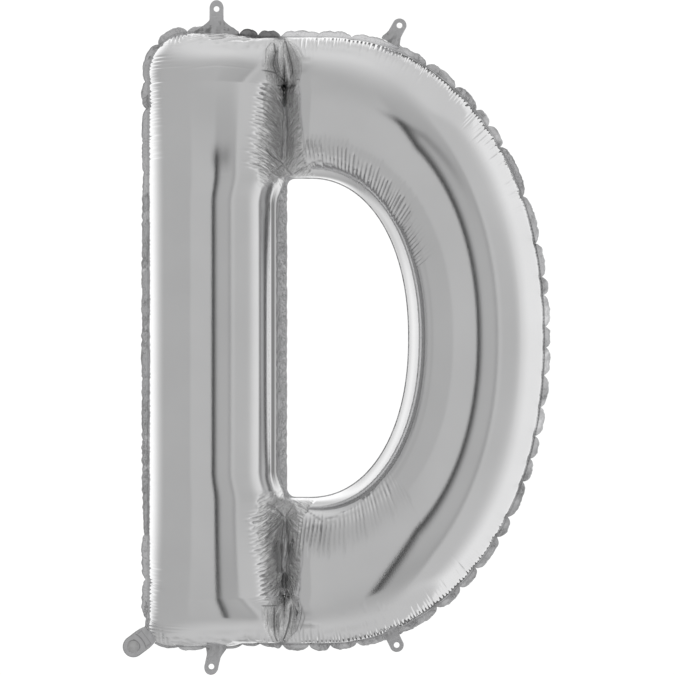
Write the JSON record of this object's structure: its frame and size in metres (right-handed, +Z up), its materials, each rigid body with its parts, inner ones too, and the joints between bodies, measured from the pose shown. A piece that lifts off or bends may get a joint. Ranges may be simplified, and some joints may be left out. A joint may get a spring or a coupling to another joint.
{
  "type": "letter foil balloon",
  "caption": "Filled silver foil balloon in the shape of a capital D, with welded seams, hanging tabs and a filling neck.",
  "frame": {"origin": "middle of the letter, in the plane of its welds, inside the counter", "axes": "+X to the letter's right seen from the front, +Y from the front panel to the back panel, +Z up the letter"},
  "size_m": [0.5982, 0.1784, 0.9448],
  "materials": {
    "silver_foil": "polished",
    "welded_foil": "satin",
    "valve_film": "satin"
  },
  "bodies": {
    "root": {"front_panel": "silver_foil", "back_panel": "silver_foil", "outer_seam": "welded_foil", "counter_seam": "welded_foil", "upper_junction_weld": "welded_foil", "lower_junction_weld": "welded_foil", "tab_top_left": "welded_foil", "tab_top_right": "welded_foil", "tab_bottom_left": "welded_foil", "tab_bottom_right": "welded_foil", "neck_front_sheet": "welded_foil", "neck_back_sheet": "welded_foil", "valve_film": "valve_film"}
  },
  "joints": []
}
